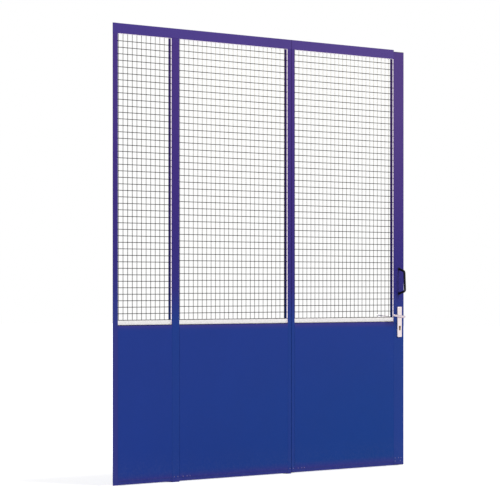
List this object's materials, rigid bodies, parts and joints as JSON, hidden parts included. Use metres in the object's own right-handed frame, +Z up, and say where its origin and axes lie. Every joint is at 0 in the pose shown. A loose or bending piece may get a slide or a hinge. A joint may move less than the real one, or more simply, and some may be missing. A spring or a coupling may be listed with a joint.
{
  "type": "wire mesh partition with door",
  "caption": "Floor-standing partition with blue steel sheets below, square welded mesh above and a hinged end leaf with lever lock and bow pull handle.",
  "frame": {"origin": "on the floor, under the middle of the bounding box", "axes": "+X along the partition to the viewer's right, +Y away from the face side, +Z up"},
  "size_m": [2.962, 0.1656, 2.95],
  "materials": {
    "violet_paint": "satin",
    "blue_paint": "satin",
    "pale_zinc": "satin",
    "mesh_wire": "dull",
    "lock_steel": "satin",
    "satin_silver": "satin",
    "lock_brass": "satin",
    "black_paint": "satin",
    "black_plastic": "matte"
  },
  "bodies": {
    "frame": {"left_cover_strip": "violet_paint", "left_side_bar": "violet_paint", "mullion": "violet_paint", "door_post": "violet_paint", "top_rail": "violet_paint", "rail_end_cap": "black_plastic", "narrow_mid_rail": "violet_paint", "middle_mid_rail": "violet_paint", "narrow_bottom_rail": "violet_paint", "middle_bottom_rail": "violet_paint", "narrow_sheet": "blue_paint", "middle_sheet": "blue_paint", "narrow_mesh": "mesh_wire", "middle_mesh": "mesh_wire", "narrow_sill_channel": "pale_zinc", "middle_sill_channel": "pale_zinc", "narrow_edge_trim": "pale_zinc", "middle_edge_trim": "pale_zinc", "panel_rivets": "pale_zinc", "left_foot_plate": "violet_paint", "mullion_foot_plate": "violet_paint", "door_post_foot_plate": "violet_paint", "hinge_pintles": "violet_paint", "hinge_washers": "lock_brass"},
    "door": {"hinge_stile": "violet_paint", "lock_stile": "violet_paint", "door_top_rail": "violet_paint", "door_mid_rail": "violet_paint", "door_bottom_rail": "violet_paint", "door_sheet": "blue_paint", "door_mesh": "mesh_wire", "door_sill_channel": "pale_zinc", "door_edge_trim": "pale_zinc", "door_rivets": "pale_zinc", "hinge_sleeves": "violet_paint", "stile_caps": "black_plastic", "pull_handle": "black_paint", "pull_handle_screws": "lock_steel", "lock_case": "lock_steel", "lock_case_cover": "lock_steel", "lock_forend": "satin_silver", "forend_screws": "satin_silver", "front_plate": "satin_silver", "rear_plate": "satin_silver", "plate_bolts": "satin_silver", "plate_sleeve_nuts": "satin_silver", "lever_return_springs": "lock_steel", "cylinder_body": "lock_brass", "cylinder_screw": "satin_silver", "rear_plug": "lock_brass"},
    "lever": {"front_lever": "satin_silver", "rear_lever": "satin_silver", "spindle": "lock_steel", "lock_follower": "lock_steel", "lever_grub_screws": "black_paint"},
    "latch": {"latch_bolt": "lock_steel"},
    "key_plug": {"front_plug": "lock_brass", "cylinder_cam": "lock_steel"},
    "bolt": {"dead_bolt": "lock_steel"}
  },
  "joints": [
    {"name": "door_swing", "type": "hinge", "parent": "frame", "child": "door", "pos_m": [0.2495, 0.0265, 0], "axis": [0, 0, 1], "range_deg": [0, 100]},
    {"name": "lever_turn", "type": "hinge", "parent": "door", "child": "lever", "pos_m": [1.414, 0, 1.058], "axis": [0, -1, 0], "range_deg": [0, 45], "stiffness_Nm_per_rad": 2, "springref_deg": -20.05},
    {"name": "latch_slide", "type": "slide", "parent": "door", "child": "latch", "axis": [-1, 0, 0], "range_m": [0, 0.0125]},
    {"name": "key_turn", "type": "hinge", "parent": "door", "child": "key_plug", "pos_m": [1.414, 0, 0.986], "axis": [0, -1, 0], "range_deg": [0, 360]},
    {"name": "bolt_slide", "type": "slide", "parent": "door", "child": "bolt", "axis": [1, 0, 0], "range_m": [0, 0.02]}
  ],
  "couplings": [
    {"joint": "latch_slide", "follows": "lever_turn", "m_per_rad": 0.0152},
    {"joint": "key_turn", "follows": "bolt_slide", "rad_per_m": 314.1}
  ]
}
